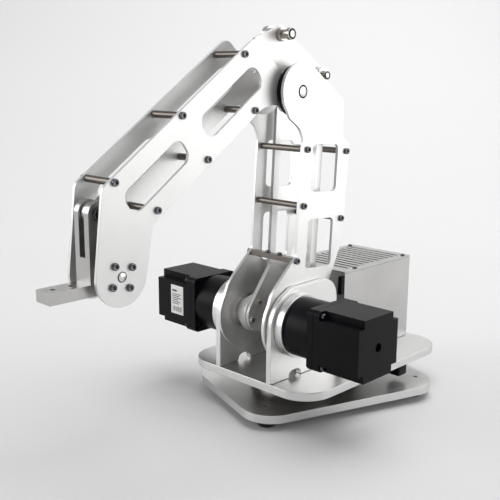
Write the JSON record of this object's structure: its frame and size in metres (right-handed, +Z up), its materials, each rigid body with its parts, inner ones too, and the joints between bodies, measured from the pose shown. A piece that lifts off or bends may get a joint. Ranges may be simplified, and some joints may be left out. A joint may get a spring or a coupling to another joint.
{
  "type": "desktop palletising robot arm",
  "caption": "Three-axis desktop robot arm of flat aluminium plates with parallel levelling linkages, geared stepper motors and a tool bar that stays level.",
  "frame": {"origin": "bottom centre of the robot's box at rest, on the surface that the feet stand on; the waist axis is 67.9 mm along +Y from it", "axes": "+Z up, the arm reaches towards -Y, every arm pivot runs along X, +X is the side of the shoulder motor"},
  "size_m": [0.2632, 0.4358, 0.3652],
  "materials": {
    "anodised_plate": "satin",
    "ground_steel": "bright",
    "grey_sheet": "satin",
    "dark_steel": "satin",
    "black_motor": "satin",
    "black_rubber": "matte"
  },
  "bodies": {
    "base": {"foot_1": "black_rubber", "foot_2": "black_rubber", "foot_3": "black_rubber", "foot_4": "black_rubber", "base_plate": "anodised_plate", "waist_ring": "ground_steel"},
    "turret": {"waist_hub": "ground_steel", "waist_belt": "black_rubber", "waist_motor_pulley": "ground_steel", "turntable": "anodised_plate", "upright_left": "anodised_plate", "upright_right": "anodised_plate", "shoulder_mount_ring": "anodised_plate", "shoulder_gearbox": "black_motor", "shoulder_adapter": "black_motor", "shoulder_motor": "black_motor", "elbow_mount_ring": "anodised_plate", "elbow_gearbox": "black_motor", "elbow_adapter": "black_motor", "elbow_motor": "black_motor", "housing_cover": "grey_sheet", "housing_lid": "grey_sheet", "waist_gearbox": "black_motor", "waist_motor": "black_motor", "cable_gland": "black_motor", "anchor_bracket": "anodised_plate"},
    "lower_arm": {"lower_arm_plate_left": "anodised_plate", "lower_arm_plate_right": "anodised_plate", "lower_arm_spacer_1": "ground_steel", "lower_arm_spacer_2": "ground_steel", "lower_arm_spacer_3": "ground_steel", "lower_arm_spacer_4": "ground_steel", "lower_arm_crossbar": "ground_steel", "elbow_axle": "ground_steel", "shoulder_bearing": "ground_steel", "drive_hub": "ground_steel"},
    "forearm_crank": {"crank": "ground_steel"},
    "crank_pin": {"crank_pin": "ground_steel"},
    "pushrod": {"pushrod": "anodised_plate"},
    "rocker": {"rocker_plate": "anodised_plate", "rocker_top_pin": "ground_steel", "rocker_rear_pin": "ground_steel"},
    "level_bar": {"level_bar": "anodised_plate"},
    "forearm": {"forearm_plate_left": "anodised_plate", "forearm_plate_right": "anodised_plate", "forearm_spacer_1": "ground_steel", "forearm_spacer_2": "ground_steel", "forearm_spacer_3": "ground_steel", "forearm_spacer_4": "ground_steel", "forearm_spacer_5": "ground_steel", "forearm_spacer_6": "ground_steel", "elbow_bearing_left": "ground_steel", "elbow_bearing_right": "ground_steel", "pushrod_pin": "ground_steel", "wrist_axle": "ground_steel", "wrist_flange_left": "ground_steel", "wrist_flange_right": "ground_steel"},
    "wrist_bar": {"wrist_bar": "anodised_plate"},
    "hand": {"hand": "anodised_plate", "wrist_bar_pin": "dark_steel"}
  },
  "joints": [
    {"name": "waist_turn", "type": "hinge", "parent": "base", "child": "turret", "pos_m": [0, 0.06789, 0], "axis": [0, 0, 1], "range_deg": [-109, 71]},
    {"name": "shoulder_pivot", "type": "hinge", "parent": "turret", "child": "lower_arm", "pos_m": [0, 0.02639, 0.0925], "axis": [1, 0, 0], "range_deg": [-6, 40]},
    {"name": "rocker_pivot", "type": "hinge", "parent": "lower_arm", "child": "rocker", "pos_m": [0, 0.03821, 0.30717], "axis": [1, 0, 0], "range_deg": [-40, 6]},
    {"name": "elbow_pivot", "type": "hinge", "parent": "rocker", "child": "forearm", "pos_m": [0, 0.03821, 0.30717], "axis": [1, 0, 0], "range_deg": [-22, 20]},
    {"name": "wrist_bar_pivot", "type": "hinge", "parent": "rocker", "child": "wrist_bar", "pos_m": [0, 0.02571, 0.35718], "axis": [1, 0, 0], "range_deg": [-22, 20]},
    {"name": "wrist_pivot", "type": "hinge", "parent": "forearm", "child": "hand", "pos_m": [0, -0.1593, 0.16733], "axis": [1, 0, 0], "range_deg": [-20, 22]},
    {"name": "crank_pivot", "type": "hinge", "parent": "turret", "child": "forearm_crank", "pos_m": [0, 0.02639, 0.0925], "axis": [1, 0, 0], "range_deg": [-22, 20]},
    {"name": "crank_pin_pivot", "type": "hinge", "parent": "forearm_crank", "child": "crank_pin", "pos_m": [0, 0.05259, 0.09903], "axis": [1, 0, 0], "range_deg": [-20, 22]},
    {"name": "pushrod_pivot", "type": "hinge", "parent": "crank_pin", "child": "pushrod", "pos_m": [0, 0.05259, 0.09903], "axis": [1, 0, 0], "range_deg": [-6, 40]},
    {"name": "level_bar_pivot", "type": "hinge", "parent": "turret", "child": "level_bar", "pos_m": [0, 0.06839, 0.1069], "axis": [1, 0, 0], "range_deg": [-6, 40]}
  ],
  "couplings": [
    {"joint": "rocker_pivot", "follows": "shoulder_pivot", "ratio": -1},
    {"joint": "pushrod_pivot", "follows": "shoulder_pivot", "ratio": 1},
    {"joint": "level_bar_pivot", "follows": "shoulder_pivot", "ratio": 1},
    {"joint": "wrist_bar_pivot", "follows": "elbow_pivot", "ratio": 1},
    {"joint": "wrist_pivot", "follows": "elbow_pivot", "ratio": -1},
    {"joint": "crank_pivot", "follows": "elbow_pivot", "ratio": 1},
    {"joint": "crank_pin_pivot", "follows": "elbow_pivot", "ratio": -1}
  ]
}
